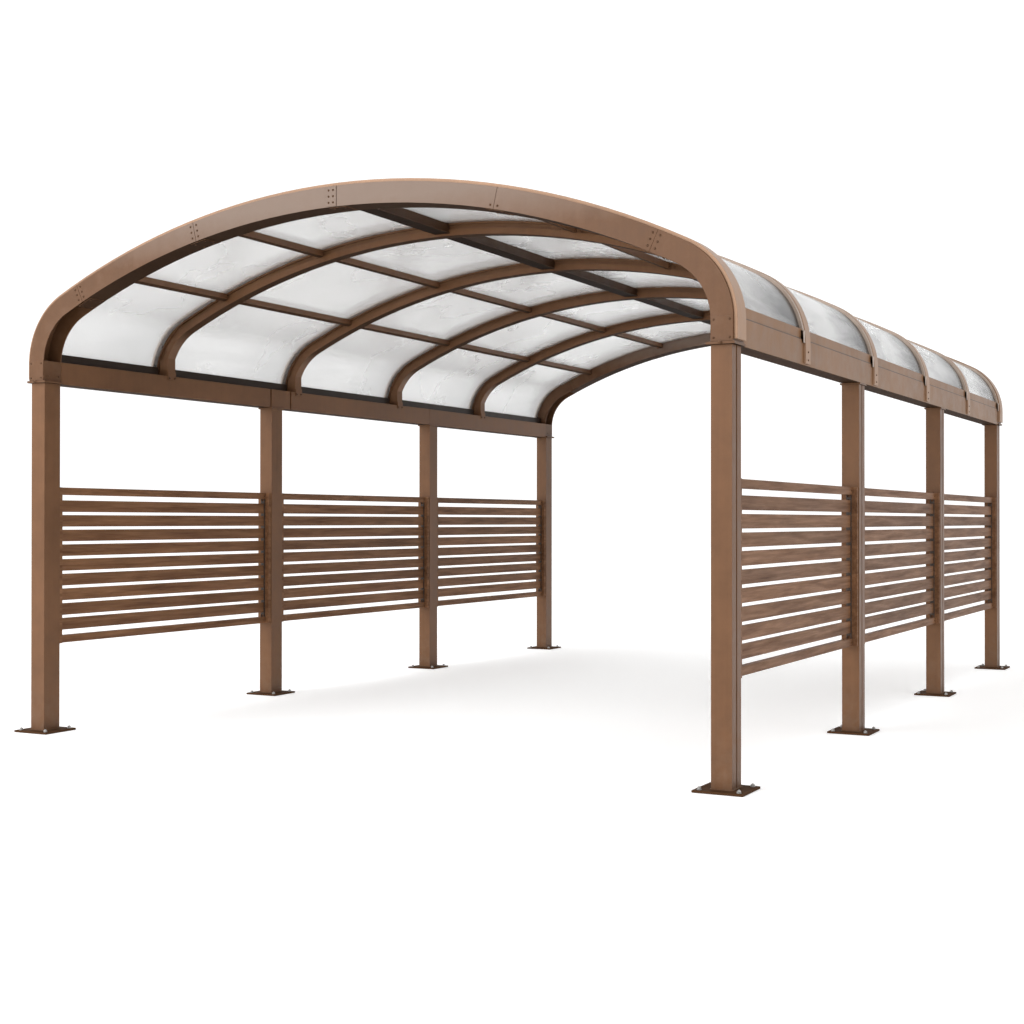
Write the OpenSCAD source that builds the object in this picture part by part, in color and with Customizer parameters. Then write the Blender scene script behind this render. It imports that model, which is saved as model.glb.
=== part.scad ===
// Open carport with an arched roof: four posts a side, slatted side panels,
// eaves beams, channel arches at both ends and clear sheets on curved ribs.
// X runs across the bay, Y along it with the front end at -Y, Z up.
// The origin is on the ground at the middle of the footprint.

/* [Bay] */
// Clear width between the posts
bay_w = 4430; // [2400:10:6000]
// Clear height under the eaves beams
clear_h = 2200; // [1900:10:3000]
// Distance between post centres along one side
post_pitch = 2355; // [1500:5:3000]

/* [Posts] */
// Width of a post across the bay
post_x = 110; // [80:1:160]
// Depth of a post along the bay
post_y = 135; // [80:1:180]
// Width of the slot in the outer face of a post
slot_w = 14; // [6:1:24]
// Depth of that slot
slot_d = 9; // [4:1:16]
// Side of the square base plate
base_w = 265; // [220:5:360]
// Thickness of the base plate
base_t = 12; // [8:1:20]
// Distance between anchor holes, both ways
anchor_pitch = 205; // [170:5:300]
// Diameter of an anchor hole
anchor_d = 14; // [10:1:22]
// Thickness of the plate between a middle post and its beam
head_t = 10; // [6:1:16]
// How far the head plate stands out round the post
head_lip = 10; // [4:1:20]

/* [Side panels] */
// Height of the lower edge of a panel above the ground
panel_z = 550; // [200:10:900]
// Height of a panel
panel_h = 995; // [600:5:1300]
// Height of the top and bottom rails
rail_h = 48; // [30:1:80]
// Thickness of the rails
rail_t = 40; // [30:1:60]
// Height of a slat
slat_h = 75; // [50:1:110]
// Thickness of a slat
slat_t = 22; // [16:1:30]
// Smallest gap between two slats
slat_gap = 18; // [10:1:40]
// Gap between a rail and the slat next to it
rail_gap = 34; // [20:1:60]
// Width of the end stiles across the bay
stile_x = 100; // [60:1:110]
// Thickness of the end stiles along the bay
stile_y = 28; // [16:1:40]

/* [Eaves] */
// Height of the eaves beam
beam_h = 140; // [100:1:220]
// Thickness of the fascia outside the beam
fascia_t = 10; // [6:1:20]
// Height of the gutter rail that carries the sheets
gutter_h = 60; // [40:1:90]
// Width of the gutter rail
gutter_w = 53; // [35:1:60]
// How far the gutter rail stands behind the fascia
gutter_back = 7; // [2:1:12]
// Space between the end of a gutter rail and the side of a rib
gutter_gap = 29; // [10:1:60]
// Length of the beam joint block behind the front face of post 2
joint_l = 235; // [160:5:320]
// Open gap between the joint block and each beam
joint_gap = 18; // [8:1:30]
// How far the core of the joint is set in from the beam faces
joint_inset = 14; // [6:1:24]
// Width of the line where the beams meet at post 3
butt_gap = 2; // [1:1:6]

/* [Roof curve] */
// Height of the crown over the underside of the beams
rise = 1013; // [700:1:1600]
// Outer radius of the haunch above the eaves
haunch_r = 450; // [300:10:600]
// Height of the start of the haunch over the underside of the beams
haunch_lift = 122; // [60:1:135]
// Angle from the crown to the middle splice of an end arch
mid_splice_a = 12.6; // [8:0.1:15]
// Angle from the crown to the corner splice of an end arch
corner_splice_a = 24.4; // [18:0.1:25]
// Angle from the crown to the upper purlin
upper_purlin_a = 11.4; // [8:0.1:14]
// Angle from the crown to the lower purlin
lower_purlin_a = 21.5; // [17:0.1:24]

/* [End arches] */
// Depth of an end arch along the bay
arch_y = 155; // [145:1:220]
// Depth of the arch section, inside to outside
arch_depth = 118; // [80:1:160]
// Wall of the open corner channels
channel_t = 6; // [4:1:12]
// Thickness of the collar at the foot of an arch leg
collar_t = 13; // [8:1:20]
// How far the collar stands out round the post
collar_lip = 20; // [12:1:30]
// Width and depth of the splice line
splice_line = 3; // [2:1:5]
// Thickness of the cover strip on an end arch
arch_cap_t = 18; // [8:1:30]
// How far that strip is set back from the arch faces
arch_cap_back = 12; // [4:1:30]
// Height of the foot of that strip over the collar
arch_cap_lift = 12; // [2:1:40]

/* [Ribs and sheets] */
// Distance from the front post centres to the first rib
first_bay = 1132.5; // [700:2.5:1500]
// Distance from the last rib to the rear post centres
last_bay = 1432.5; // [700:2.5:1500]
// Width of a rib
rib_w = 80; // [70:1:120]
// Depth of a rib below the outer line of the arches
rib_depth = 92; // [80:1:110]
// Thickness of the foot of a rib, across the bay
rib_foot_t = 70; // [40:1:75]
// Thickness of the outer flange of a rib
rib_top = 12; // [6:1:20]
// Height of the recess below that flange
rib_recess_h = 26; // [14:1:36]
// Depth of that recess in each side
rib_recess_d = 12; // [6:1:18]
// Height of the tab that laps onto the face of the beam
rib_lap = 28; // [15:1:60]
// Thickness of that tab
lap_t = 6; // [4:1:10]
// Depth of the sheets below the outer line of the arches
sheet_drop = 8; // [4:1:12]
// Thickness of a sheet
sheet_t = 6; // [4:1:12]
// Space between a sheet edge and the web of a cover cap
sheet_gap = 2; // [1:1:6]
// Width of a cover cap
cap_w = 90; // [70:1:120]
// Thickness of a cover cap
cap_t = 12; // [6:1:20]
// Width of the web under a cover cap
cap_web = 40; // [24:1:50]
// Height of the foot of a cover cap over the lower edge of the fascia
cap_foot = 10; // [2:1:40]

/* [Ridge and purlins] */
// Width of the ridge beam
ridge_w = 90; // [60:1:120]
// Depth of the ridge beam above its lip
ridge_h = 58; // [40:1:66]
// Width of the lip under the ridge beam, each side
ridge_lip = 10; // [4:1:20]
// Thickness of that lip
ridge_lip_t = 6; // [4:1:10]
// Width of a purlin
purlin_w = 34; // [25:1:60]
// Depth of a purlin
purlin_h = 44; // [30:1:60]

/* [Hidden] */
HOLE_FN = 48;
HAUNCH_STEPS = 16;          // chords round one haunch
CROWN_STEPS = 18;           // chords from a haunch to the crown
RIBS = 4;
POSTS = 4;
SIDES = [["left", -1], ["right", 1]];
ENDS = [["front", -1], ["rear", 1]];
CUT = 1;                    // how far a cutter stands out of what it cuts
FAR = 3 * bay_w;            // reach of the cutters that keep half of something

post_in = bay_w / 2;
post_out = post_in + post_x;
post_mid = post_in + post_x / 2;
half_len = post_pitch * (POSTS - 1) / 2;
beam_out = post_out + fascia_t;
beam_top = clear_h + beam_h;
gutter_top = beam_top + gutter_h;
gutter_out = beam_out - gutter_back;
arch_in_y = half_len - arch_y / 2;   // inner face of an end arch
arch_out_y = half_len + arch_y / 2;  // outer face of an end arch

// The roof line: an upright leg, a haunch and a crown arc that meet smoothly.
haunch_x = beam_out - haunch_r;
haunch_z = clear_h + haunch_lift;
crown_top = clear_h + rise;
crown_over = crown_top - haunch_z;
crown_r = (haunch_x * haunch_x + crown_over * crown_over - haunch_r * haunch_r)
        / (2 * (crown_over - haunch_r));
crown_z = crown_top - crown_r;
haunch_a = asin(haunch_x / (crown_r - haunch_r));

// Depths below the outer line of the arches
sheet_out = -sheet_drop;
sheet_in = sheet_out - sheet_t;
rib_in = -rib_depth;
recess_out = sheet_in - rib_top;
recess_in = recess_out - rib_recess_h;
ridge_foot = crown_top + sheet_in - ridge_h;  // lower edge over the lip

rib_pitch = (2 * half_len - first_bay - last_bay) / (RIBS - 1);
rib_y = [for (i = [0 : RIBS - 1]) -half_len + first_bay + i * rib_pitch];
// Middle lines of the ribs, and the arches' inner faces where a bay ends
bay_from = concat([-arch_in_y], [for (y = rib_y) y + rib_w / 2]);
bay_to = concat([for (y = rib_y) y - rib_w / 2], [arch_in_y]);

joint_y = -half_len + post_pitch - post_y / 2;  // front face of post 2
butt_y = -half_len + 2 * post_pitch - post_y / 2;  // front face of post 3

// ---- helpers ----

// Draws the children on the right side, or mirrored on the left side.
module on_side(side) {
    if (side > 0) children();
    else mirror([1, 0, 0]) children();
}

// Draws the children at the rear end, or mirrored at the front end.
module at_end(end) {
    if (end > 0) children();
    else mirror([0, 1, 0]) children();
}

// Turns an outline in X and Z into a solid that runs from y0 to y1.
module along_bay(y0, y1) {
    translate([0, y1, 0]) rotate([90, 0, 0]) linear_extrude(y1 - y0) children();
}

// A wedge from angle a0 to a1, measured from straight up toward +X.
module wedge(a0, a1, reach) {
    am = (a0 + a1) / 2;
    polygon([[0, 0], for (a = [a0, am, a1]) reach * [sin(a), cos(a)]]);
}

// The right half of the roof line at a given depth, from the eaves up to
// the crown: a leg, then short chords round the haunch and the crown arc.
function roof_line(depth, base) = concat(
    [[beam_out + depth, base]],
    [for (i = [0 : HAUNCH_STEPS])
        let (a = 90 - i * (90 - haunch_a) / HAUNCH_STEPS)
        [haunch_x + (haunch_r + depth) * sin(a),
         haunch_z + (haunch_r + depth) * cos(a)]],
    [for (i = [1 : CROWN_STEPS])
        let (a = haunch_a * (1 - i / CROWN_STEPS))
        [(crown_r + depth) * sin(a), crown_z + (crown_r + depth) * cos(a)]]
);

// All that lies inside the roof line at a given depth, down to height base.
module under_roof(depth, base) {
    right = roof_line(depth, base);
    left = [for (i = [len(right) - 2 : -1 : 0]) [-right[i][0], right[i][1]]];
    polygon(concat(right, left));
}

// The strip between two depths, from eaves to eaves, down to height foot.
module roof_band(inner, outer, foot) {
    intersection() {
        difference() {
            under_roof(outer, clear_h - CUT);
            under_roof(inner, clear_h - 2 * CUT);
        }
        translate([-FAR, foot]) square([2 * FAR, FAR]);
    }
}

// The part of that strip on the right of a given x.
module half_band(inner, outer, foot, from_x) {
    intersection() {
        roof_band(inner, outer, foot);
        translate([from_x, 0]) square([FAR, FAR]);
    }
}

module crown_wedge(a0, a1) {
    translate([0, crown_z]) wedge(a0, a1, 1.2 * crown_r);
}

// ---- posts and panels ----

module base_plate() {
    difference() {
        translate([-base_w / 2, -base_w / 2, 0]) cube([base_w, base_w, base_t]);
        for (x = [-1, 1], y = [-1, 1])
            translate([x * anchor_pitch / 2, y * anchor_pitch / 2, -CUT])
                cylinder(h = base_t + 2 * CUT, d = anchor_d, $fn = HOLE_FN);
    }
}

// A post with its base plate; a middle post also has a head plate.
module post(side, number) {
    middle = number > 1 && number < POSTS;
    top = middle ? clear_h - head_t : clear_h;
    plate_x = post_x + 2 * head_lip;
    plate_y = post_y + 2 * head_lip;
    color("sienna") on_side(side)
    translate([post_mid, -half_len + (number - 1) * post_pitch, 0]) {
        base_plate();
        difference() {
            translate([-post_x / 2, -post_y / 2, base_t / 2])
                cube([post_x, post_y, top - base_t / 2]);
            translate([post_x / 2 - slot_d, -slot_w / 2, base_t])
                cube([slot_d + CUT, slot_w, clear_h]);
        }
        if (middle)
            translate([-plate_x / 2, -plate_y / 2, top])
                cube([plate_x, plate_y, head_t]);
    }
}

// Slats between two rails, held by a stile against each post.
module side_panel(side, number) {
    y0 = -half_len + (number - 1) * post_pitch + post_y / 2;
    length = post_pitch - post_y;
    room = panel_h - 2 * rail_h - 2 * rail_gap;
    slats = floor((room + slat_gap) / (slat_h + slat_gap));
    step = slat_h + (room - slats * slat_h) / max(slats - 1, 1);
    color("peru") on_side(side) translate([post_mid, y0, panel_z]) {
        for (y = [0, length - stile_y])
            translate([-stile_x / 2, y, 0]) cube([stile_x, stile_y, panel_h]);
        for (z = [0, panel_h - rail_h])
            translate([-rail_t / 2, stile_y / 2, z])
                cube([rail_t, length - stile_y, rail_h]);
        for (i = [0 : slats - 1])
            translate([-slat_t / 2, stile_y / 2, rail_h + rail_gap + i * step])
                cube([slat_t, length - stile_y, slat_h]);
    }
}

// ---- eaves ----

module beam_box(y0, y1, inset) {
    translate([post_in + inset, y0, clear_h + inset])
        cube([post_x - 2 * inset, y1 - y0, beam_h - 2 * inset]);
}

// Front, middle and rear beams of one side.
module eaves_beams(side) {
    color("sienna") on_side(side) {
        beam_box(-arch_in_y, joint_y - joint_gap, 0);
        beam_box(joint_y + joint_l + joint_gap, butt_y - butt_gap / 2, 0);
        beam_box(butt_y + butt_gap / 2, arch_in_y, 0);
    }
}

// The block over post 2, with the core that enters the gaps beside it.
module beam_joint(side) {
    color("saddlebrown") on_side(side) {
        beam_box(joint_y, joint_y + joint_l, 0);
        beam_box(joint_y - joint_gap, joint_y + joint_l + joint_gap, joint_inset);
    }
}

// The fascia follows the roof line where that starts below its top edge.
module fascia(side) {
    color("peru") on_side(side) along_bay(-arch_in_y, arch_in_y)
        intersection() {
            under_roof(0, clear_h);
            translate([post_out, clear_h]) square([fascia_t, beam_h]);
        }
}

// One length of rail in each bay, cut short beside the ribs.
module gutter_rail(side) {
    color("peru") on_side(side)
    for (i = [0 : RIBS]) {
        y0 = bay_from[i] + (i > 0 ? gutter_gap : 0);
        y1 = bay_to[i] - (i < RIBS ? gutter_gap : 0);
        translate([gutter_out - gutter_w, y0, beam_top])
            cube([gutter_w, y1 - y0, gutter_h]);
    }
}

// ---- end arches ----

// A plate round the top of the post, cut off where the beam begins.
module collar() {
    outer_y = half_len + post_y / 2 + collar_lip;
    translate([post_in - collar_lip, arch_in_y, clear_h])
        cube([post_x + 2 * collar_lip, outer_y - arch_in_y, collar_t]);
}

// The part of an arch from the corner splice down to the foot of the leg.
module corner_band(inner) {
    difference() {
        half_band(inner, 0, clear_h, 0);
        crown_wedge(-corner_splice_a, corner_splice_a);
    }
}

// Leg and haunch: closed up to the top of the beam, a channel above it.
module arch_corner(end, side) {
    color("sienna") at_end(end) on_side(side) {
        collar();
        along_bay(arch_in_y, arch_out_y) {
            corner_band(-channel_t);
            intersection() {
                corner_band(-arch_depth);
                translate([0, clear_h]) square([FAR, beam_h]);
            }
        }
        for (y = [arch_in_y, arch_out_y - channel_t])
            along_bay(y, y + channel_t) corner_band(-arch_depth);
    }
}

// Half of the crown, a closed box with a line cut round it at each splice.
module arch_crown(end, side) {
    color("chocolate") at_end(end) on_side(side)
    difference() {
        along_bay(arch_in_y, arch_out_y) intersection() {
            half_band(-arch_depth, 0, clear_h, 0);
            crown_wedge(0, corner_splice_a);
        }
        for (angle = [0, mid_splice_a, corner_splice_a])
            difference() {
                along_bay(arch_in_y - CUT, arch_out_y + CUT)
                    splice_cut(angle, arch_depth + CUT, CUT);
                along_bay(arch_in_y + splice_line, arch_out_y - splice_line)
                    splice_cut(angle, arch_depth - splice_line, -splice_line);
            }
    }
}

// A thin radial strip across the arch at the given angle from the crown.
module splice_cut(angle, inner, outer) {
    translate([0, crown_z]) rotate(-angle)
        translate([-splice_line / 2, crown_r - inner])
            square([splice_line, inner + outer]);
}

// ---- roof ----

// A band of the rib's section between two depths, notched over the ridge
// beam, with the feet that stand on the eaves beams.
module rib_section(inner, outer) {
    difference() {
        roof_band(inner, outer, beam_top);
        translate([-ridge_w / 2, ridge_foot]) square([ridge_w, FAR]);
        ridge_lips();
    }
    for (s = SIDES) mirror([s[1] < 0 ? 1 : 0, 0]) rib_foot();
}

// A foot is flush with the beam's inner face, up to the height where the
// inner line of the rib comes in over that face.
module rib_foot() {
    reach = post_in - haunch_x;
    over = sqrt(pow(haunch_r + rib_in, 2) - reach * reach);
    translate([post_in, beam_top])
        square([rib_foot_t, haunch_z + over - beam_top]);
}

// A rib has two flanges and a body, and a tab on each beam.
module rib(number) {
    y = rib_y[number - 1];
    half = rib_w / 2;
    body = half - rib_recess_d;
    color("saddlebrown") {
        along_bay(y - body, y + body) rib_section(rib_in, sheet_in);
        along_bay(y - half, y + half) {
            rib_section(recess_out, sheet_in);
            rib_section(rib_in, recess_in);
        }
        for (s = SIDES) on_side(s[1])
            translate([post_in - lap_t, y - half, beam_top - rib_lap])
                cube([lap_t, rib_w, 2 * rib_lap]);
    }
}

// The lips along the lower edges of the ridge beam.
module ridge_lips() {
    translate([-ridge_w / 2 - ridge_lip, ridge_foot - ridge_lip_t])
        square([ridge_w + 2 * ridge_lip, ridge_lip_t]);
}

module ridge_outline() {
    intersection() {
        under_roof(sheet_in, clear_h);
        translate([-ridge_w / 2, ridge_foot]) square([ridge_w, FAR]);
    }
    ridge_lips();
}

// The ridge beam runs between the arches.
module ridge_beam() {
    color("saddlebrown") along_bay(-arch_in_y, arch_in_y) ridge_outline();
}

module purlin_outline(angle) {
    intersection() {
        under_roof(sheet_in, clear_h);
        translate([0, crown_z]) rotate(-angle)
            translate([-purlin_w / 2, crown_r + sheet_in - purlin_h])
                square([purlin_w, 2 * purlin_h]);
    }
}

// Two rows of purlins on one side, one length to a bay.
module purlins(side) {
    color("saddlebrown") on_side(side)
    for (i = [0 : RIBS], a = [upper_purlin_a, lower_purlin_a])
        along_bay(bay_from[i], bay_to[i]) purlin_outline(a);
}

// A sheet reaches from eaves to eaves and laps onto the ribs beside it.
module roof_sheet(number) {
    lap = (rib_w - cap_web) / 2 - sheet_gap;
    y0 = bay_from[number - 1] + (number > 1 ? -lap : sheet_gap);
    y1 = bay_to[number - 1] + (number <= RIBS ? lap : -sheet_gap);
    color([0.86, 0.87, 0.88, 0.6]) along_bay(y0, y1)
        roof_band(sheet_in, sheet_out, gutter_top);
}

// A cap over a rib: a strip outside with a web that stands on the rib.
module rib_cap(y) {
    along_bay(y - cap_w / 2, y + cap_w / 2)
        roof_band(0, cap_t, clear_h + cap_foot);
    along_bay(y - cap_web / 2, y + cap_web / 2)
        roof_band(sheet_in, cap_t / 2, beam_top);
}

module arch_cap(end) {
    at_end(end)
        along_bay(arch_in_y + arch_cap_back, arch_out_y - arch_cap_back)
            roof_band(0, arch_cap_t, clear_h + collar_t + arch_cap_lift);
}

module cover_caps() {
    color("tan") {
        for (e = ENDS) arch_cap(e[1]);
        for (y = rib_y) rib_cap(y);
    }
}

// ---- nodes ----

for (s = SIDES, i = [1 : POSTS])
    post(s[1], i);
for (s = SIDES, i = [1 : POSTS - 1])
    side_panel(s[1], i);
for (s = SIDES) {
    eaves_beams(s[1]);
    beam_joint(s[1]);
    fascia(s[1]);
    gutter_rail(s[1]);
    purlins(s[1]);
}
for (e = ENDS, s = SIDES) {
    arch_corner(e[1], s[1]);
    arch_crown(e[1], s[1]);
}
for (i = [1 : RIBS])
    rib(i);
ridge_beam();
for (i = [1 : RIBS + 1])
    roof_sheet(i);
cover_caps();
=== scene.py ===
# The carport's finishes and small fixings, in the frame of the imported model.
# Metres. X runs across the bay, Y along it with the front end at -Y, Z up.
import math
import random

import bmesh
import bpy
from mathutils import Matrix, Vector


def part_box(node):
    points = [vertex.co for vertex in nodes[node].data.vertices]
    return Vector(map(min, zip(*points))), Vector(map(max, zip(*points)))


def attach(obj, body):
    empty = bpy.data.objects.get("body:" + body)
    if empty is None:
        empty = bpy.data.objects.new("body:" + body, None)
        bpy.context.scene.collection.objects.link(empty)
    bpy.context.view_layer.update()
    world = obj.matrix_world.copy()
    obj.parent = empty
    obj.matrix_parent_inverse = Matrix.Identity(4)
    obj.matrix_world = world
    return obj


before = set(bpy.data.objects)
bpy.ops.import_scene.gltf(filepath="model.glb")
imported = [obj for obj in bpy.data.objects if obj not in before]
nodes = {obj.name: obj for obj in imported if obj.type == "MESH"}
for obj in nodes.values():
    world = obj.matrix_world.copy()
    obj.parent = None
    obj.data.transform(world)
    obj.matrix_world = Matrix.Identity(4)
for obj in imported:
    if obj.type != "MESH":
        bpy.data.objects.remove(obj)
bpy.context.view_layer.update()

# ---------------------------------------------------------------- measures
SIDES = (("left", -1), ("right", 1))
ENDS = (("front", -1), ("rear", 1))
POSTS, BAYS = 4, 5

right_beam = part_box("right_eaves_beams")
BEAM_IN, BEAM_TOP = right_beam[0][0], right_beam[1][2]
CLEAR_H = right_beam[0][2]
FASCIA_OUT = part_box("right_fascia")[1][0]
GUTTER_IN, GUTTER_OUT = (corner[0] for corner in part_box("right_gutter_rail"))

front_post, next_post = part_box("right_post_1"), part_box("right_post_2")
POST_PITCH = next_post[0][1] - front_post[0][1]
FRONT_POST_Y = (front_post[0][1] + front_post[1][1]) / 2
POST_HALF_X, POST_HALF_Y = 0.055, 0.0675
PLATE_T, ANCHOR_OFF = 0.012, 0.1025

PANEL_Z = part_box("right_side_panel_1")[0][2]
RAIL_H, RAIL_T, STILE_Y = 0.048, 0.040, 0.028
SLATS_A_PANEL, SLAT_H, SLAT_T = 9, 0.075, 0.022
FIRST_SLAT, SLAT_STEP = 0.082, 0.0945

CROWN_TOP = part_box("front_arch_left_crown")[1][2]
ARCH_OUT_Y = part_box("rear_arch_left_crown")[1][1]
ARCH_IN_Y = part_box("rear_arch_left_crown")[0][1]
ARCH_MID_Y = (ARCH_IN_Y + ARCH_OUT_Y) / 2
ARCH_DEPTH, COLLAR_T = 0.118, 0.013
HAUNCH_R, HAUNCH_LIFT = 0.450, 0.122
HAUNCH_X = FASCIA_OUT - HAUNCH_R
HAUNCH_Z = CLEAR_H + HAUNCH_LIFT
CROWN_OVER = CROWN_TOP - HAUNCH_Z
CROWN_R = (HAUNCH_X ** 2 + CROWN_OVER ** 2 - HAUNCH_R ** 2) / (2 * (CROWN_OVER - HAUNCH_R))
CROWN_Z = CROWN_TOP - CROWN_R
HAUNCH_A = math.asin(HAUNCH_X / (CROWN_R - HAUNCH_R))
MID_A, CORNER_A = math.radians(12.6), math.radians(24.4)
UPPER_A, LOWER_A = math.radians(11.4), math.radians(21.5)

SHEET_OUT = -0.008
RIB_W, CAP_W, CAP_T = 0.080, 0.090, 0.012
RIB_Y = [
    (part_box(f"rib_{i + 1}")[0][1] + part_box(f"rib_{i + 1}")[1][1]) / 2 for i in range(BAYS - 1)
]


def openings(width):
    """The stretches of Y between the end arches, less a width at each rib."""
    ends = [-ARCH_IN_Y] + [v for y in RIB_Y for v in (y - width / 2, y + width / 2)] + [ARCH_IN_Y]
    return [(ends[2 * i], ends[2 * i + 1]) for i in range(BAYS)]


def roof_point(angle, depth, y=0.0):
    """A point over the roof line, by the angle of the line's normal from the vertical."""
    if abs(angle) <= HAUNCH_A:
        reach, x, z = CROWN_R + depth, 0.0, CROWN_Z
    else:
        reach, x, z = HAUNCH_R + depth, math.copysign(HAUNCH_X, angle), HAUNCH_Z
    return Vector((x + reach * math.sin(angle), y, z + reach * math.cos(angle)))


def roof_axes(angle):
    """The directions out of the roof and along it, towards +X."""
    out = Vector((math.sin(angle), 0, math.cos(angle)))
    return out, Vector((math.cos(angle), 0, -math.sin(angle)))


def roof_angles(steps_haunch=16, steps_crown=18):
    """The normals' angles from the left leg to the right one."""
    half = [HAUNCH_A * i / steps_crown for i in range(steps_crown)]
    rest = (math.pi / 2 - HAUNCH_A) / steps_haunch
    half += [HAUNCH_A + rest * i for i in range(steps_haunch + 1)]
    return [-a for a in reversed(half[1:])] + half


# ---------------------------------------------------------------- materials
class Graph:
    """Short ways to add shader nodes."""

    def __init__(self, name):
        self.material = bpy.data.materials.new(name)
        self.material.use_nodes = True
        self.tree = self.material.node_tree
        self.tree.nodes.clear()
        self.here = self.add("ShaderNodeTexCoord").outputs["Object"]

    def add(self, kind, **settings):
        node = self.tree.nodes.new(kind)
        for key, value in settings.items():
            setattr(node, key, value)
        return node

    def put(self, socket, value):
        if isinstance(value, bpy.types.NodeSocket):
            self.tree.links.new(value, socket)
        else:
            socket.default_value = value

    def math(self, operation, a, b=0.0, clamp=False):
        node = self.add("ShaderNodeMath", operation=operation, use_clamp=clamp)
        self.put(node.inputs[0], a)
        self.put(node.inputs[1], b)
        return node.outputs[0]

    def vector(self, operation, a, b):
        node = self.add("ShaderNodeVectorMath", operation=operation)
        self.put(node.inputs[0], a)
        self.put(node.inputs[1], b)
        return node.outputs["Value" if operation == "DOT_PRODUCT" else "Vector"]

    def noise(self, scale, detail=2.0, rough=0.5, stretch=None, at=None, warp=0.0):
        node = self.add("ShaderNodeTexNoise")
        where = at or self.here
        if stretch:
            where = self.vector("MULTIPLY", where, stretch)
        self.put(node.inputs["Vector"], where)
        node.inputs["Scale"].default_value = scale
        node.inputs["Detail"].default_value = detail
        node.inputs["Roughness"].default_value = rough
        node.inputs["Distortion"].default_value = warp
        return node.outputs["Fac"]

    def remap(self, value, a, b, low=0.0, high=1.0):
        node = self.add("ShaderNodeMapRange")
        self.put(node.inputs["Value"], value)
        for key, number in (("From Min", a), ("From Max", b), ("To Min", low), ("To Max", high)):
            node.inputs[key].default_value = number
        return node.outputs["Result"]

    def blend(self, factor, a, b, mode="MIX"):
        node = self.add("ShaderNodeMix", data_type="RGBA", blend_type=mode)
        self.put(node.inputs[0], factor)
        self.put(node.inputs[6], rgba(a))
        self.put(node.inputs[7], rgba(b))
        return node.outputs[2]

    def split(self, vector=None):
        node = self.add("ShaderNodeSeparateXYZ")
        self.put(node.inputs[0], vector or self.here)
        return node.outputs

    def edges(self, radius):
        """0 on flat faces, rising to 1 on outer and inner edges."""
        bevel = self.add("ShaderNodeBevel", samples=4)
        bevel.inputs["Radius"].default_value = radius
        turn = self.vector(
            "DOT_PRODUCT", bevel.outputs[0], self.add("ShaderNodeNewGeometry").outputs["Normal"]
        )
        return self.remap(self.math("SUBTRACT", 1.0, turn), 0.01, 0.16)

    def bump(self, height, distance, strength=1.0, under=None):
        node = self.add("ShaderNodeBump")
        self.put(node.inputs["Height"], height)
        node.inputs["Distance"].default_value = distance
        node.inputs["Strength"].default_value = strength
        if under is not None:
            self.put(node.inputs["Normal"], under)
        return node.outputs["Normal"]

    def principled(self, **values):
        shader = self.add("ShaderNodeBsdfPrincipled")
        for key, value in values.items():
            self.put(shader.inputs[key.replace("_", " ")], value)
        out = self.add("ShaderNodeOutputMaterial")
        self.tree.links.new(shader.outputs[0], out.inputs["Surface"])
        return self.material


def rgba(value):
    """A colour with its alpha, or the socket that gives one."""
    return value if isinstance(value, bpy.types.NodeSocket) else (*value, 1.0)


def tint(colour, factor):
    return tuple(channel * factor for channel in colour)


PAINT = (0.145, 0.068, 0.031)
PAINT_LIGHT = (0.225, 0.128, 0.078)
DUST = (0.26, 0.20, 0.15)
# Colour of the painted sheen, greyer and lighter, on the arch crown.
PAINTED_SHEEN = (0.180, 0.128, 0.099)
# Colour of the painted shade on the gutter rails' faces into the bay.
GUTTER_SHADE = (0.028, 0.016, 0.010)


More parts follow.
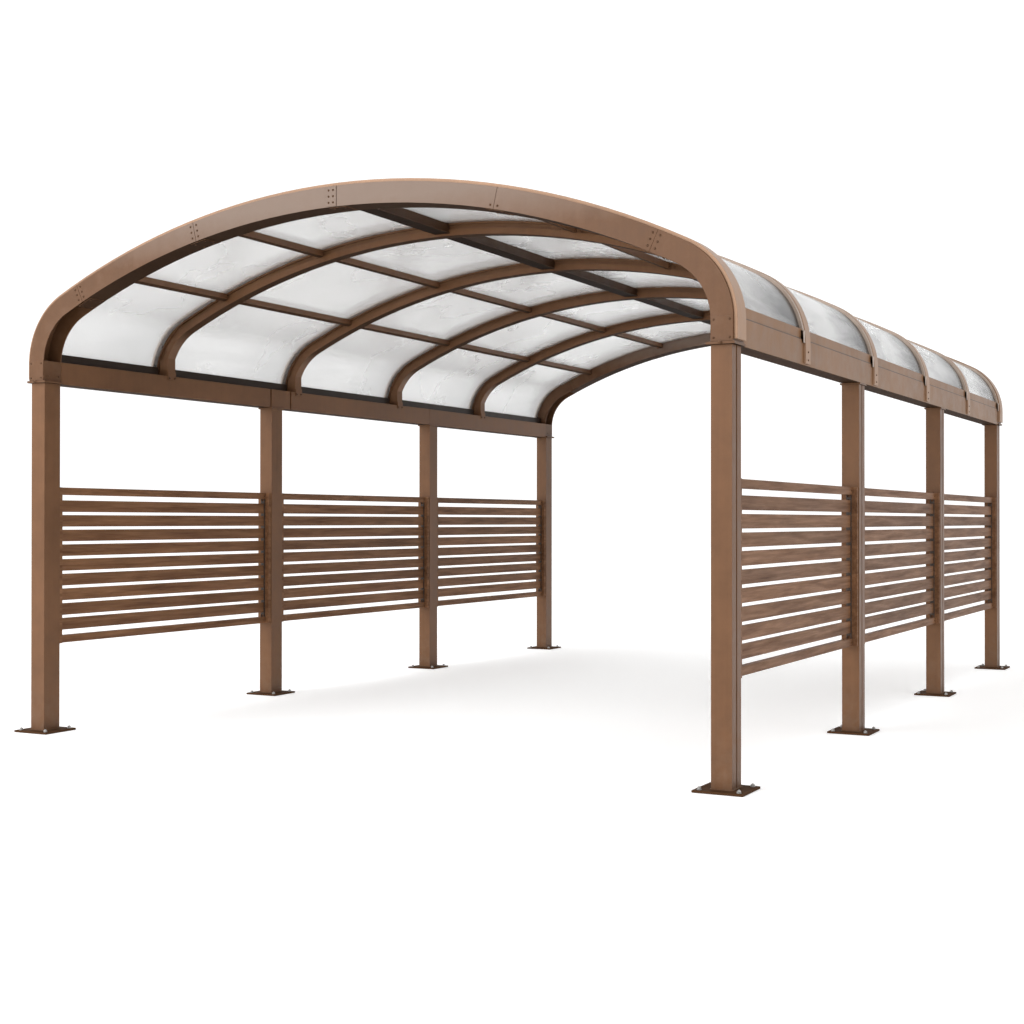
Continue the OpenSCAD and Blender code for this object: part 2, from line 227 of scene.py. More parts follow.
def paint(name, base=PAINT, rough=0.40, metal=0.10, wear=0.55, peel=1.0, under=1.0, crown_sheen=0.0,
          shaded_face_x=None):
    """Satin bronze powder coat: slow drift in tone, fine flake, orange peel, worn edges.

    It carries painted shade on faces that look down, darker and duller up to the strength under,
    and is darker and duller on the base plates; it may carry a painted sheen, greyer and lighter,
    at the crown, and painted shade on faces that look into the bay from the given x inward."""
    g = Graph(name)
    drift = g.noise(0.9, 3, 0.55)
    mottle = g.noise(11, 5, 0.6)
    runs = g.noise(1.0, 4, 0.6, stretch=(42, 42, 1.1))
    flake = g.noise(900, 1, 0.5)
    tone = g.math("ADD", g.math("MULTIPLY", drift, 0.45), g.math("MULTIPLY", mottle, 0.30))
    tone = g.math("ADD", tone, g.math("MULTIPLY", runs, 0.15))
    tone = g.math("ADD", tone, g.math("MULTIPLY", flake, 0.10))
    colour = g.blend(g.remap(tone, 0.38, 0.62), tint(base, 0.83), tint(base, 1.17))

    patches = g.remap(g.noise(26, 4, 0.7), 0.42, 0.62, 0.15, 1.0)
    worn = g.math("MULTIPLY", g.math("MULTIPLY", g.edges(0.0035), patches), wear)
    colour = g.blend(worn, colour, PAINT_LIGHT)
    across, _, height = g.split()
    low = g.math("MULTIPLY", g.remap(height, 0.42, 0.0), g.remap(g.noise(15, 5, 0.65), 0.40, 0.72))
    colour = g.blend(g.math("MULTIPLY", low, 0.22), colour, DUST)
    # Painted sheen: above about 2.9 m, with a little mottle, the colour is blended towards a
    # greyer, lighter one that stands for the satin sheen on the crown.
    if crown_sheen:
        sheen_mask = g.math("ADD", g.remap(height, 2.86, 3.12), g.remap(mottle, 0.3, 0.7, -0.12, 0.12))
        colour = g.blend(g.math("MULTIPLY", sheen_mask, crown_sheen, clamp=True), colour, PAINTED_SHEEN)

    # Painted shade: faces that look down are darkened towards a shaded copy of the base and dulled,
    # fading in between 0.1 m and 0.6 m high, up to the strength under.
    facing = g.split(g.add("ShaderNodeNewGeometry").outputs["Normal"])[2]
    painted_underside_shade = g.math("MULTIPLY", g.remap(facing, -0.6, -0.95), g.remap(height, 0.1, 0.6, 0.0, under))
    colour = g.blend(painted_underside_shade, colour, tint(base, 0.22))
    plate = g.remap(height, PLATE_T + 0.0020, PLATE_T + 0.0005)
    colour = g.blend(g.math("MULTIPLY", plate, 0.85), colour, tint(base, 0.40))
    # Painted shade: faces at or inside the given x, the gutter rails' faces into the bay, are
    # darkened almost to black for the shade under the roof's edge.
    if shaded_face_x is not None:
        painted_gutter_shade = g.remap(g.math("ABSOLUTE", across), shaded_face_x + 0.003, shaded_face_x + 0.001)
        colour = g.blend(painted_gutter_shade, colour, GUTTER_SHADE)

    dull = g.math("MAXIMUM", painted_underside_shade, plate)
    roughness = g.math("ADD", g.remap(mottle, 0.3, 0.7, rough - 0.06, rough + 0.08),
                       g.math("MULTIPLY", low, 0.22))
    roughness = g.math("MAXIMUM", roughness, g.math("MULTIPLY", dull, 0.85), clamp=True)
    normal = g.bump(g.noise(230, 2, 0.5), 0.00045 * peel, 0.6)
    normal = g.bump(g.noise(3.2, 2, 0.5), 0.004, 0.12, under=normal)
    return g.principled(Base_Color=colour, Metallic=metal, Roughness=roughness, Normal=normal,
                        Coat_Weight=0.03, Coat_Roughness=0.34,
                        Specular_IOR_Level=g.remap(dull, 0.0, 1.0, 0.22, 0.03))


def slat_wood(name):
    """Boards in brown timber, grain along the bay, each a little different in tone."""
    g = Graph(name)
    x, y, z = g.split()
    below_first = PANEL_Z + FIRST_SLAT - (SLAT_STEP - SLAT_H) / 2
    board = g.math("FLOOR", g.math("DIVIDE", g.math("SUBTRACT", z, below_first), SLAT_STEP))
    third = g.math("FLOOR", g.math("DIVIDE", g.math("SUBTRACT", y, FRONT_POST_Y), POST_PITCH))
    key = g.add("ShaderNodeCombineXYZ")
    g.put(key.inputs[0], board)
    g.put(key.inputs[1], third)
    g.put(key.inputs[2], g.math("SIGN", x))
    random_tone = g.add("ShaderNodeTexWhiteNoise", noise_dimensions="3D")
    g.put(random_tone.inputs["Vector"], key.outputs[0])
    shift = g.vector("MULTIPLY", random_tone.outputs["Color"], (9, 9, 9))
    where = g.vector("ADD", g.here, shift)
    grain = g.noise(34, 6, 0.62, stretch=(1.0, 0.055, 1.0), at=where, warp=0.4)
    fibre = g.noise(260, 3, 0.6, stretch=(1.0, 0.022, 1.0), at=where)
    bands = g.noise(5.5, 3, 0.5, stretch=(1.0, 0.20, 1.0), at=where, warp=1.1)
    mix = g.math("ADD", g.math("MULTIPLY", grain, 0.55), g.math("MULTIPLY", fibre, 0.25))
    mix = g.math("ADD", mix, g.math("MULTIPLY", bands, 0.20))
    ramp = g.add("ShaderNodeValToRGB")
    g.put(ramp.inputs[0], g.remap(mix, 0.34, 0.66))
    stops = ramp.color_ramp.elements
    stops[0].position, stops[0].color = 0.0, (0.078, 0.031, 0.012, 1)
    stops[1].position, stops[1].color = 1.0, (0.245, 0.121, 0.058, 1)
    middle = stops.new(0.5)
    middle.color = (0.158, 0.073, 0.033, 1)
    tone = g.remap(random_tone.outputs["Value"], 0.0, 1.0, 0.86, 1.14)
    grey = g.add("ShaderNodeCombineXYZ")
    for socket in grey.inputs:
        g.put(socket, tone)
    colour = g.vector("MULTIPLY", ramp.outputs[0], grey.outputs[0])
    worn = g.math("MULTIPLY", g.edges(0.003), g.remap(g.noise(30, 3, 0.6), 0.40, 0.64, 0.1, 1.0))
    colour = g.blend(g.math("MULTIPLY", worn, 0.5), colour, (0.255, 0.155, 0.098))
    roughness = g.remap(grain, 0.3, 0.7, 0.62, 0.46)
    normal = g.bump(fibre, 0.0007, 0.7)
    normal = g.bump(grain, 0.0012, 0.5, under=normal)
    return g.principled(Base_Color=colour, Metallic=0.0, Roughness=roughness, Normal=normal,
                        Specular_IOR_Level=0.18)


def opal_sheet(name, rear):
    """Frosted roof sheet with painted shade and reflection, a dark grey that stands for the ribs
    and frame seen through it, heavier low down on the right and towards its rear edge.
    """
    g = Graph(name)
    x, y, z = g.split()
    cloud = g.noise(1.4, 3, 0.5)
    speck = g.noise(160, 2, 0.6)
    streak = g.noise(3.4, 4, 0.6, stretch=(1.6, 0.35, 2.4), warp=0.4)
    tone = g.math("ADD", g.math("MULTIPLY", cloud, 0.94), g.math("MULTIPLY", speck, 0.06))
    colour = g.blend(g.remap(tone, 0.30, 0.70), (0.87, 0.872, 0.87), (0.915, 0.917, 0.915))
    low = g.remap(z, CROWN_TOP - 0.15, BEAM_TOP + 0.15)
    wide = g.math("ADD", 0.20, g.math("MULTIPLY", low, 0.55))
    near = g.math("DIVIDE", g.math("SUBTRACT", rear, y), wide)
    near = g.math("ADD", near, g.remap(streak, 0.3, 0.7, -0.30, 0.30))
    # The painted shade is weighted towards the right-hand side.
    painted_shade_right = g.remap(x, -0.6, 1.6, 0.16, 1.0)
    shade = g.math("MULTIPLY", g.remap(near, 1.25, 0.25), g.remap(low, 0.0, 0.8, 0.35, 1.0))
    # Painted reflection: streaks low down darken the sheet too.
    painted_reflection_streaks = g.math("MULTIPLY", g.remap(streak, 0.52, 0.40), g.remap(low, 0.35, 0.8, 0.0, 0.30))
    painted_shade_and_reflection = g.math("MULTIPLY", g.math("MAXIMUM", shade, painted_reflection_streaks), painted_shade_right)
    # Painted shade and reflection: the sheet's colour is blended towards a dark grey.
    colour = g.blend(painted_shade_and_reflection, colour, (0.09, 0.092, 0.098))
    roughness = g.remap(tone, 0.3, 0.7, 0.20, 0.32)
    normal = g.bump(g.noise(55, 1, 0.5), 0.00015, 0.25)
    return g.principled(Base_Color=colour, Roughness=roughness, Normal=normal, IOR=1.45,
                        Transmission_Weight=0.80)


def zinc(name):
    """Galvanised fixings: grey spangle, dull patches, a little brown at the edges."""
    g = Graph(name)
    cells = g.add("ShaderNodeTexVoronoi")
    g.put(cells.inputs["Vector"], g.here)
    cells.inputs["Scale"].default_value = 260
    tone = g.math("ADD", g.math("MULTIPLY", g.split(cells.outputs["Color"])[0], 0.5),
                  g.math("MULTIPLY", g.noise(45, 4, 0.6), 0.5))
    colour = g.blend(g.remap(tone, 0.2, 0.8), (0.30, 0.29, 0.28), (0.58, 0.57, 0.55))
    rust = g.math("MULTIPLY", g.edges(0.0015), g.remap(g.noise(90, 4, 0.7), 0.5, 0.66))
    colour = g.blend(g.math("MULTIPLY", rust, 0.6), colour, (0.16, 0.075, 0.035))
    return g.principled(Base_Color=colour, Metallic=0.85,
                        Roughness=g.remap(tone, 0.2, 0.8, 0.52, 0.34),
                        Normal=g.bump(g.noise(500, 2, 0.6), 0.00025, 0.6))


def trim_metal(name):
    """Pale anodised edge strips, drawn along their length."""
    g = Graph(name)
    lines = g.noise(300, 3, 0.6, stretch=(0.03, 1.0, 0.03))
    blotch = g.noise(7, 4, 0.6)
    tone = g.math("ADD", g.math("MULTIPLY", lines, 0.45), g.math("MULTIPLY", blotch, 0.55))
    colour = g.blend(g.remap(tone, 0.36, 0.64), (0.330, 0.250, 0.200), (0.440, 0.350, 0.285))
    colour = g.blend(g.math("MULTIPLY", g.edges(0.002), 0.35), colour, (0.46, 0.38, 0.32))
    return g.principled(Base_Color=colour, Metallic=0.35,
                        Roughness=g.remap(tone, 0.3, 0.7, 0.34, 0.46),
                        Normal=g.bump(lines, 0.0004, 0.5))


def dark_plastic(name):
    """Brown moulded plastic clips with a fine spark-eroded grain."""
    g = Graph(name)
    tone = g.noise(38, 4, 0.6)
    colour = g.blend(g.remap(tone, 0.35, 0.65), (0.030, 0.017, 0.011), (0.060, 0.036, 0.024))
    colour = g.blend(g.math("MULTIPLY", g.edges(0.0015), 0.4), colour, (0.11, 0.072, 0.05))
    return g.principled(Base_Color=colour, Roughness=g.remap(tone, 0.3, 0.7, 0.44, 0.62),
                        Normal=g.bump(g.noise(700, 2, 0.6), 0.0003, 0.7))


# Dark plastic for the strips that stand for the shadow line under the gutter rails: painted shade.
SHADE_LINE_DARK = dark_plastic("shade_line_dark")
FRAME = paint("frame_paint")
ROOF_FRAME = paint("roof_frame_paint", rough=0.42)
# Painted shade: a darker copy of the frame paint stands for the darker reflection on the arches,
# and it carries the painted sheen at the crown.
ARCH_SHADE_AND_SHEEN = paint("arch_paint_shade_and_sheen", base=tint(PAINT, 0.78), crown_sheen=1.0)
CAPS = paint("cap_paint", base=(0.315, 0.188, 0.117), rough=0.38, under=0.0)
# Painted shade: the ridge takes a much darker, matt copy of the frame paint for the shade under the
# roof.
RIDGE_SHADED = paint("ridge_paint_shaded", base=tint(PAINT, 0.38), rough=0.50, metal=0.0)
PLATES = paint("fixing_paint", base=tint(PAINT, 0.80), rough=0.46, wear=0.8)
WELD = paint("weld_paint", base=tint(PAINT, 0.72), rough=0.44, wear=0.3, peel=2.2)
SCREWS = paint("screw_paint", base=tint(PAINT, 0.50), rough=0.34, metal=0.6, wear=0.9)
SLATS = slat_wood("slat_timber")
SHEETS = {
    f"roof_sheet_{i}": opal_sheet(f"opal_sheet_{i}", rear=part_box(f"roof_sheet_{i}")[1][1])
    for i in range(1, BAYS + 1)
}
# Painted light: a lighter copy of the frame paint for the fascias and gutter rails stands for the
# light they catch; the gutters' faces into the bay carry painted shade.
EAVES_LIT_AND_SHADED = paint("eaves_paint_lit_and_shaded", base=(0.208, 0.105, 0.048), shaded_face_x=GUTTER_IN)
ZINC = zinc("galvanised_steel")
TRIM = trim_metal("edge_strip")
PLASTIC = dark_plastic("clip_plastic")

FINISHES = (
    ("post", FRAME), ("eaves", FRAME), ("joint", FRAME), ("fascia", EAVES_LIT_AND_SHADED), ("gutter", EAVES_LIT_AND_SHADED),
    ("arch", ARCH_SHADE_AND_SHEEN), ("panel", SLATS), ("cover_caps", CAPS), ("ridge", RIDGE_SHADED),
    ("rib", ROOF_FRAME), ("purlins", ROOF_FRAME),
)


def finish_of(name):
    """The finish of a node, by what its name says it is."""
    if name in SHEETS:
        return SHEETS[name]
    return next(finish for word, finish in FINISHES if word in name)


def smooth_group():
    """A modifier that shades faces smooth, except across edges of more than 30 degrees."""
    group = bpy.data.node_groups.new("smooth_by_angle", "GeometryNodeTree")
    for way in ("INPUT", "OUTPUT"):
        group.interface.new_socket("Geometry", in_out=way, socket_type="NodeSocketGeometry")
    add, link = group.nodes.new, group.links.new
    start, end = add("NodeGroupInput"), add("NodeGroupOutput")
    faces, hard = add("GeometryNodeSetShadeSmooth"), add("GeometryNodeSetShadeSmooth")
    faces.domain, hard.domain = "FACE", "EDGE"
    angle, test = add("GeometryNodeInputMeshEdgeAngle"), add("FunctionNodeCompare")
    test.operation = "GREATER_THAN"
    test.inputs[1].default_value = math.radians(30)
    link(angle.outputs["Unsigned Angle"], test.inputs[0])
    link(start.outputs[0], faces.inputs["Geometry"])
    link(faces.outputs[0], hard.inputs["Geometry"])
    link(test.outputs[0], hard.inputs["Selection"])
    hard.inputs["Shade Smooth"].default_value = False
    link(hard.outputs[0], end.inputs[0])
    return group


SMOOTH = smooth_group()


def dress(obj, width):
    """Softens the edges of a CAD node, with modifiers only."""
    weld = obj.modifiers.new("join_corners", "WELD")
    weld.merge_threshold = 0.00002
    if width:
        bevel = obj.modifiers.new("soft_edges", "BEVEL")
        bevel.width, bevel.segments = width, 2
        bevel.limit_method, bevel.angle_limit = "ANGLE", math.radians(35)
        bevel.use_clamp_overlap = True
    obj.modifiers.new("smooth", "NODES").node_group = SMOOTH
    even = obj.modifiers.new("even_shading", "WEIGHTED_NORMAL")
    even.keep_sharp, even.weight = True, 100


FINE_EDGE, EDGE = 0.0012, 0.0015
for name, obj in nodes.items():
    if obj.material_slots:
        for spot in obj.material_slots:
            spot.material = finish_of(name)
    else:
        obj.data.materials.append(finish_of(name))
    thin = "panel" in name or "purlins" in name
    dress(obj, 0 if "sheet" in name else FINE_EDGE if thin else EDGE)


# ---------------------------------------------------------------- small pieces
def piece(name, bm, material):
    """A finished piece from bmesh work in the row frame."""
    bmesh.ops.recalc_face_normals(bm, faces=bm.faces)
    mesh = bpy.data.meshes.new(name)
    bm.to_mesh(mesh)
    bm.free()
    mesh.polygons.foreach_set("use_smooth", [True] * len(mesh.polygons))
    mesh.set_sharp_from_angle(angle=math.radians(32))
    mesh.materials.append(material)
    obj = bpy.data.objects.new(name, mesh)
    bpy.context.scene.collection.objects.link(obj)
    even = obj.modifiers.new("even_shading", "WEIGHTED_NORMAL")
    even.keep_sharp, even.weight = True, 100
    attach(obj, "root")
    return obj


def frame_at(point, out, along=None):
    """Places +Z along out and +X along along."""
    z = Vector(out).normalized()
    x = Vector(along) if along is not None else z.orthogonal()
    x = (x - z * x.dot(z)).normalized()
    y = z.cross(x)
    return Matrix.Translation(point) @ Matrix((x, y, z)).transposed().to_4x4()


def lathe(bm, place, rings, sides=12):
    """Rings of (radius, height, shape) round the local Z; shape 6 makes a hexagon."""
    loops = []
    for radius, height, shape in rings:
        loop = []
        for i in range(sides):
            a = 2 * math.pi * i / sides
            r = radius
            if shape == 6:
                part = (a + math.pi / 6) % (math.pi / 3) - math.pi / 6
                r = radius / math.cos(part)
            loop.append(bm.verts.new(place @ Vector((r * math.cos(a), r * math.sin(a), height))))
        loops.append(loop)
    for one, two in zip(loops, loops[1:]):
        for i in range(sides):
            j = (i + 1) % sides
            bm.faces.new((one[i], one[j], two[j], two[i]))
    bm.faces.new(loops[-1])
    bm.faces.new(list(reversed(loops[0])))


def button_screw(bm, point, out, r=0.0055):
    """A button head with a hexagon socket."""
    h = r * 0.62
    lathe(bm, frame_at(point, out), [
        (r, -0.0004, 0), (r, h * 0.25, 0), (r * 0.88, h * 0.66, 0), (r * 0.62, h * 0.95, 0),
        (r * 0.50, h, 0), (r * 0.42, h, 6), (r * 0.40, h * 0.35, 6)])


def hex_screw(bm, point, out, r=0.008):
    """A hexagon head on a sealing washer."""
    lathe(bm, frame_at(point, out), [
        (r * 1.45, -0.0004, 0), (r * 1.45, r * 0.22, 0), (r * 1.12, r * 0.40, 0),
        (r * 0.86, r * 0.42, 6), (r * 0.86, r * 0.95, 6), (r * 0.70, r * 1.10, 0)])


def anchor(bm, point, turn):
    """Washer, hexagon nut and the end of the stud."""
    along = Vector((math.cos(turn), math.sin(turn), 0))
    place = frame_at(point, (0, 0, 1), along)
    lathe(bm, place, [(0.0125, -0.0003, 0), (0.0125, 0.0020, 0), (0.0120, 0.0026, 0)], 24)
    lathe(bm, place, [(0.0088, 0.0024, 0), (0.0094, 0.0034, 6), (0.0094, 0.0112, 6),
                      (0.0086, 0.0124, 0), (0.0064, 0.0124, 0)], 24)
    lathe(bm, place, [(0.0060, 0.0120, 0), (0.0060, 0.0134, 0), (0.0053, 0.0141, 0),
                      (0.0060, 0.0148, 0), (0.0056, 0.0158, 0), (0.0044, 0.0164, 0)], 16)


def block(bm, place, size, soft=0.0012):
    """A plate or bar with softened edges, centred on the place."""
    part = bmesh.new()
    bmesh.ops.create_cube(part, size=1.0, matrix=place @ Matrix.Diagonal((*size, 1)))
    bmesh.ops.bevel(part, geom=part.edges[:] + part.verts[:], offset=min(soft, min(size) * 0.3),
                    segments=2, profile=0.5, affect="EDGES", clamp_overlap=True)
    mesh = bpy.data.meshes.new("part")
    part.to_mesh(mesh)
    part.free()
    bm.from_mesh(mesh)
    bpy.data.meshes.remove(mesh)


def sweep(bm, sections, cap=True):
    """Joins equal rings of points into a closed bar."""
    loops = [[bm.verts.new(p) for p in ring] for ring in sections]
    count = len(loops[0])
    for one, two in zip(loops, loops[1:]):
        for i in range(count):
            j = (i + 1) % count
            bm.faces.new((one[i], one[j], two[j], two[i]))
    if cap:
        bm.faces.new(list(reversed(loops[0])))
        bm.faces.new(loops[-1])


def over_roof(bm, y0, y1, low, high, foot, soft=0.0008):
    """A strip over the whole roof between two depths, down to a foot height each side."""
    def ring(at):
        c = soft
        return [at(low, y0), at(low, y1), at(high - c, y1), at(high, y1 - c),
                at(high, y0 + c), at(high - c, y0)]
    angles = roof_angles()
    def leg(side):
        return ring(lambda d, y: Vector((side * (FASCIA_OUT + d), y, foot)))
    rings = [leg(-1)] + [ring(lambda d, y, a=a: roof_point(a, d, y)) for a in angles] + [leg(1)]
    sweep(bm, rings)


def anchors(side, number, cx, cy, rng):
    """The four anchor bolts of one base plate."""
    bm = bmesh.new()
    for dx in (-ANCHOR_OFF, ANCHOR_OFF):
        for dy in (-ANCHOR_OFF, ANCHOR_OFF):
            anchor(bm, (cx + dx, cy + dy, PLATE_T), rng.uniform(0, math.pi / 3))
    piece(f"{side}_anchors_{number}", bm, ZINC)


def foot_weld(side, number, cx, cy, rng):
    """A rippled weld bead round the foot of one post."""
    hx, hy = POST_HALF_X, POST_HALF_Y
    corners = [(-hx, -hy), (hx, -hy), (hx, hy), (-hx, hy), (-hx, -hy)]
    rings = []
    for (ax, ay), (bx, by) in zip(corners, corners[1:]):
        length = math.hypot(bx - ax, by - ay)
        steps = int(length / 0.0022)
        nx, ny = (by - ay) / length, -(bx - ax) / length
        for k in range(steps):
            t = k / steps
            px, py = cx + ax + (bx - ax) * t, cy + ay + (by - ay) * t
            wave = 0.0052 + 0.0007 * math.sin(k * 2.0) + rng.uniform(-0.0003, 0.0003)
            ring = [(0, 0), (wave * 1.15, 0), (wave * 0.95, wave * 0.55),
                    (wave * 0.55, wave * 0.95), (0, wave * 1.15)]
            if k == 0:
                px, py = px + nx * 0.0002, py + ny * 0.0002
            rings.append([Vector((px + nx * u, py + ny * u, PLATE_T + v)) for u, v in ring])
    rings.append(rings[0])
    bm = bmesh.new()
    sweep(bm, rings, cap=False)
    bmesh.ops.remove_doubles(bm, verts=bm.verts, dist=0.00001)
    piece(f"{side}_foot_weld_{number}", bm, WELD)


def arch_splice(e, a, screws, straps, plates):
    """One splice of an end arch: screws in its face and a strap underneath."""
    out, along = roof_axes(a)
    face = e * ARCH_OUT_Y
    lift = 0.0
    steps, rows = (-0.022, 0.022), (-0.024, -0.059, -0.094)
    if a == 0.0:
        lift, steps = 0.0015, (-0.022, -0.052)
        middle = roof_point(a, -ARCH_DEPTH / 2, e * (ARCH_OUT_Y + 0.0005)) - along * 0.037
        block(plates, frame_at(middle, (0, e, 0), along), (0.070, ARCH_DEPTH - 0.006, 0.003))
    elif a == MID_A:
        rows = (-0.098,)
    for row in rows:
        for step in steps:
            point = roof_point(a, row, face) + along * step
            button_screw(screws, point + Vector((0, e * lift, 0)), (0, e, 0), 0.0062)
    low = roof_point(a, -ARCH_DEPTH - 0.002, e * ARCH_MID_Y)
    block(straps, frame_at(low, out, along), (0.110, 0.125, 0.004))
    for step in (-0.036, 0.036):
        for dy in (-0.040, 0.040):
            button_screw(screws, low - out * 0.002 + along * step + Vector((0, dy, 0)), -out)


def leg_fixings(s, e, screws, plates):
    """The sleeve plate on one leg of an end arch, and the screws of its collar."""
    mid_x = s * (FASCIA_OUT - ARCH_DEPTH / 2)
    face = e * ARCH_OUT_Y
    sleeve = (mid_x, e * (ARCH_OUT_Y + 0.0005), (CLEAR_H + COLLAR_T + BEAM_TOP) / 2)
    block(plates, frame_at(sleeve, (0, e, 0), (1, 0, 0)),
          (ARCH_DEPTH - 0.002, BEAM_TOP - CLEAR_H - 0.016, 0.004))
    for dx in (-0.042, 0.042):
        for z in (CLEAR_H + 0.032, BEAM_TOP - 0.018):
            button_screw(screws, (mid_x + dx, face + e * 0.0025, z), (0, e, 0))
    hex_screw(screws, (mid_x - s * 0.004, face + e * 0.020, CLEAR_H + COLLAR_T / 2), (0, e, 0),
              0.0062)
    for dy in (-0.045, 0.045):
        button_screw(screws, (s * (BEAM_IN - 0.008), e * ARCH_MID_Y + dy, CLEAR_H + 0.045),
                     (-s, 0, 0))


def arch_fixings(end, e):
    """The splices and leg fixings of one end arch."""
    screws, straps, plates = bmesh.new(), bmesh.new(), bmesh.new()
    for a in (-CORNER_A, -MID_A, 0.0, MID_A, CORNER_A):
        arch_splice(e, a, screws, straps, plates)
    for _, s in SIDES:
        leg_fixings(s, e, screws, plates)
    piece(f"{end}_arch_screws", screws, SCREWS)
    piece(f"{end}_splice_straps", straps, PLATES)
    piece(f"{end}_splice_plates", plates, ARCH_SHADE_AND_SHEEN)


def rib_screws(number, y):
    """The screws through a rib's tabs into the beams."""
    bm = bmesh.new()
    for _, s in SIDES:
        for dy in (-0.027, 0.027):
            hex_screw(bm, (s * (BEAM_IN - 0.006), y + dy, BEAM_TOP - 0.014), (-s, 0, 0), 0.0062)
    piece(f"rib_{number}_screws", bm, SCREWS)


def cap_screws():
    """The screws through the feet of the cover caps."""
    bm = bmesh.new()
    for y in RIB_Y:
        for _, s in SIDES:
            for z in (CLEAR_H + 0.030, CLEAR_H + 0.075):
                button_screw(bm, (s * (FASCIA_OUT + CAP_T), y, z), (s, 0, 0), 0.0060)
    piece("cap_screws", bm, SCREWS)


def sheet_strips(number, y0, y1):
    """Pale strips on the long edges of one sheet; the rear one is tall and shows from the front."""
    bm = bmesh.new()
    for a, b, top in ((y0 + 0.005, y0 + 0.038, 0.005), (y1 - 0.032, y1 - 0.003, 0.017)):
        over_roof(bm, a, b, SHEET_OUT, SHEET_OUT + top, BEAM_TOP + 0.050)
    piece(f"sheet_strips_{number}", bm, TRIM)


def purlin_bracket(brackets, screws, s, a, y, way):
    """An angle bracket between a purlin and the rib or arch that ends it."""
    _, along = roof_axes(a)
    at = roof_point(a, -0.038, y) + along * s * 0.0185
    block(brackets, frame_at(at + Vector((0, way * 0.019, 0)), along * s, (0, 1, 0)),
          (0.038, 0.036, 0.003), 0.0008)
    block(brackets, frame_at(at + along * s * 0.014 + Vector((0, way * 0.0015, 0)),
                             (0, way, 0), along), (0.030, 0.036, 0.003), 0.0008)
    for step in (0.013, 0.029):
        button_screw(screws, at + Vector((0, way * step, 0)) + along * s * 0.0015,
                     along * s, 0.0042)


def purlin_fixings(side, s):
    """The brackets at both ends of every purlin on one side."""
    brackets, screws = bmesh.new(), bmesh.new()
    for y0, y1 in openings(RIB_W):
        for y, way in ((y0, 1), (y1, -1)):
            for a in (s * UPPER_A, s * LOWER_A):
                purlin_bracket(brackets, screws, s, a, y, way)
    piece(f"{side}_purlin_brackets", brackets, PLATES)
    piece(f"{side}_purlin_screws", screws, SCREWS)


def gutter_shade_lines():
    """Dark strips between the fascias and the gutter rails, short of each rib: painted shade that
    stands for the shadow line there.
    """
    bm = bmesh.new()
    size, back = 0.005, 0.031
    for _, s in SIDES:
        for i, (y0, y1) in enumerate(openings(CAP_W)):
            a, b = y0 + (back if i else 0.0), y1 - (back if i < BAYS - 1 else 0.0)
            at = (s * (GUTTER_OUT + size / 2), (a + b) / 2, BEAM_TOP + 0.002)
            block(bm, Matrix.Translation(at), (size, b - a, size), 0.001)
    piece("gutter_shade_lines", bm, SHADE_LINE_DARK)


def panel_end(combs, screws, mid, y, way, bottom, top):
    """The combs that hold the slats at one stile, and their screws and the rails'."""
    z0, z1 = bottom + RAIL_H, top - RAIL_H
    for face in (-1, 1):
        at = (mid + face * (SLAT_T / 2 + 0.0025), y + way * 0.007, (z0 + z1) / 2)
        block(combs, Matrix.Translation(at), (0.005, 0.014, z1 - z0), 0.001)
    for k in range(SLATS_A_PANEL + 1):
        z = bottom + FIRST_SLAT + SLAT_STEP * k - 0.009
        tall = 0.018 if 0 < k < SLATS_A_PANEL else 0.015
        block(combs, Matrix.Translation((mid, y + way * 0.006, z)), (SLAT_T, 0.012, tall), 0.001)
    for z in (bottom + RAIL_H / 2, top - RAIL_H / 2):
        for face in (-1, 1):
            button_screw(screws, (mid + face * RAIL_T / 2, y + way * 0.016, z), (face, 0, 0))
    for k in range(SLATS_A_PANEL):
        z = bottom + FIRST_SLAT + SLAT_STEP * k + SLAT_H / 2
        for face in (-1, 1):
            button_screw(screws, (mid + face * (SLAT_T / 2 + 0.005), y + way * 0.007, z),
                         (face, 0, 0), 0.0036)


def panel_fixings(side):
    """The combs and screws of the three panels on one side."""
    combs, screws = bmesh.new(), bmesh.new()
    for i in range(1, POSTS):
        low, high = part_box(f"{side}_side_panel_{i}")
        for y, way in ((low[1] + STILE_Y, 1), (high[1] - STILE_Y, -1)):
            panel_end(combs, screws, (low[0] + high[0]) / 2, y, way, low[2], high[2])
    piece(f"{side}_slat_combs", combs, PLASTIC)
    piece(f"{side}_panel_screws", screws, SCREWS)


for side, s in SIDES:
    for i in range(1, POSTS + 1):
        low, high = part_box(f"{side}_post_{i}")
        middle = (low[0] + high[0]) / 2, (low[1] + high[1]) / 2
        rng = random.Random(40 + i + 10 * s)
        anchors(side, i, *middle, rng)
        foot_weld(side, i, *middle, rng)
for end, e in ENDS:
    arch_fixings(end, e)
for i, y in enumerate(RIB_Y, 1):
    rib_screws(i, y)
cap_screws()
for i, (y0, y1) in enumerate(openings(CAP_W), 1):
    sheet_strips(i, y0, y1)
for side, s in SIDES:
    purlin_fixings(side, s)
gutter_shade_lines()
for side, _ in SIDES:
    panel_fixings(side)

# ---------------------------------------------------------------- the studio
scene = bpy.context.scene
scene.view_settings.view_transform = "Standard"


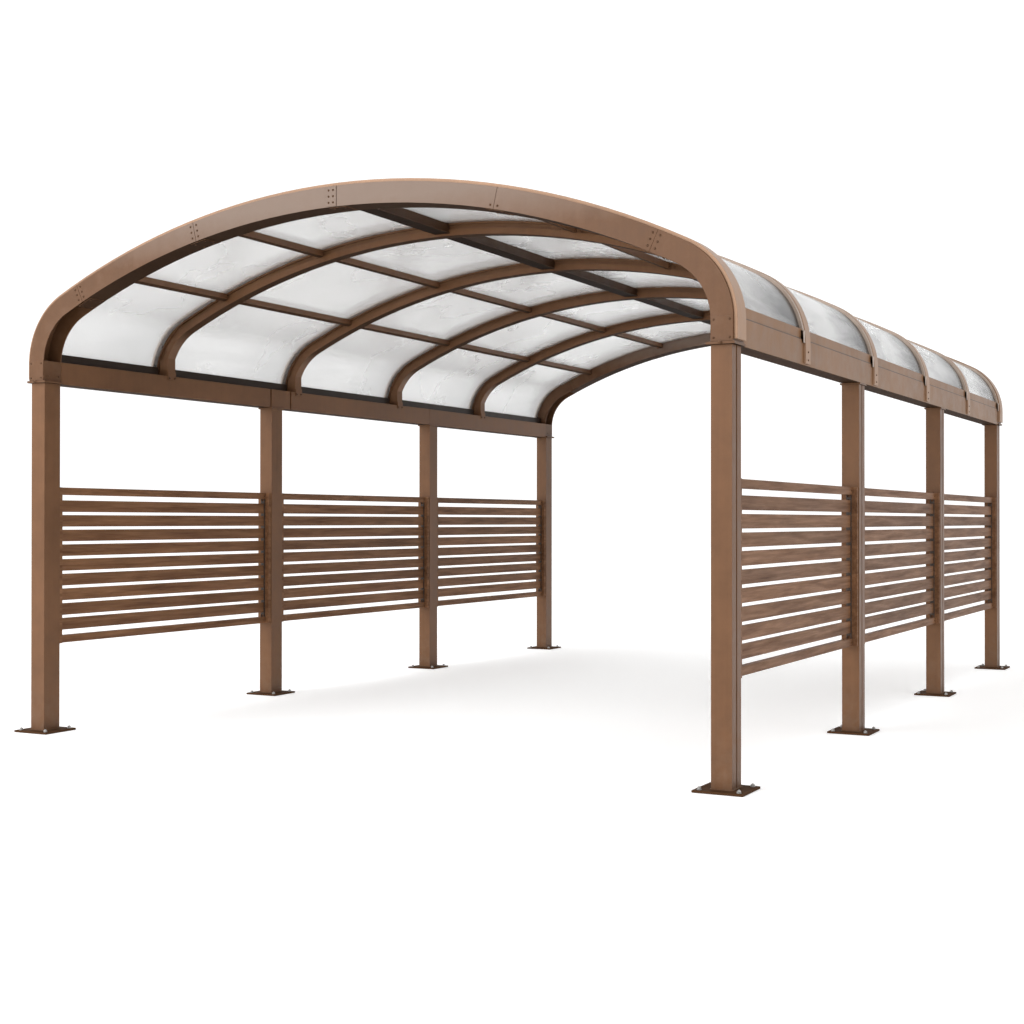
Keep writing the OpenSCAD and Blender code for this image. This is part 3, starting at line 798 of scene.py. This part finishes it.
def set_camera():
    camera = bpy.data.objects.new("camera", bpy.data.cameras.new("camera"))
    camera.data.lens, camera.data.sensor_width = 53.3, 36.0
    camera.data.clip_end = 200
    camera.location = (4.831, -10.660, 1.333)
    camera.rotation_euler = (math.radians(90.33), math.radians(-0.03), math.radians(27.80))
    scene.collection.objects.link(camera)
    scene.camera = camera


def lay_floor(half=60.0, z=-0.001):
    """A sheet of plain white paper."""
    mesh = bpy.data.meshes.new("floor")
    mesh.from_pydata([(-half, -half, z), (half, -half, z), (half, half, z), (-half, half, z)],
                     [], [(0, 1, 2, 3)])
    floor = bpy.data.objects.new("floor", mesh)
    scene.collection.objects.link(floor)
    g = Graph("floor_paper")
    mesh.materials.append(g.principled(
        Base_Color=g.blend(g.noise(0.8, 3), (0.90, 0.90, 0.90), (0.92, 0.92, 0.915)),
        Roughness=0.9, Specular_IOR_Level=0.1, Emission_Color=(1, 1, 1, 1),
        Emission_Strength=0.26))


def hang_sky():
    """White all round, and dimmer on the right."""
    world = bpy.data.worlds.new("studio")
    scene.world = world
    world.use_nodes = True
    add, link = world.node_tree.nodes.new, world.node_tree.links.new
    sky = world.node_tree.nodes["Background"]
    sky.inputs["Strength"].default_value = 1.15
    way, parts = add("ShaderNodeTexCoord"), add("ShaderNodeSeparateXYZ")
    dim = add("ShaderNodeMapRange")
    for key, number in (("From Min", 0.2), ("From Max", 0.8), ("To Min", 1.0), ("To Max", 0.45)):
        dim.inputs[key].default_value = number
    link(way.outputs["Generated"], parts.inputs[0])
    link(parts.outputs[0], dim.inputs["Value"])
    link(dim.outputs["Result"], sky.inputs["Color"])


def area(name, place, target, size, power):
    light = bpy.data.lights.new(name, "AREA")
    light.shape, light.size, light.energy = "DISK", size, power
    obj = bpy.data.objects.new(name, light)
    obj.location = place
    obj.rotation_euler = (Vector(target) - Vector(place)).to_track_quat("-Z", "Y").to_euler()
    scene.collection.objects.link(obj)


set_camera()
lay_floor()
hang_sky()
area("key", (-5.0, -13.0, 7.5), (0, -2.0, 1.6), 12.0, 1050)
area("side", (13.0, -6.0, 7.5), (2.0, 0.0, 2.2), 11.0, 230)
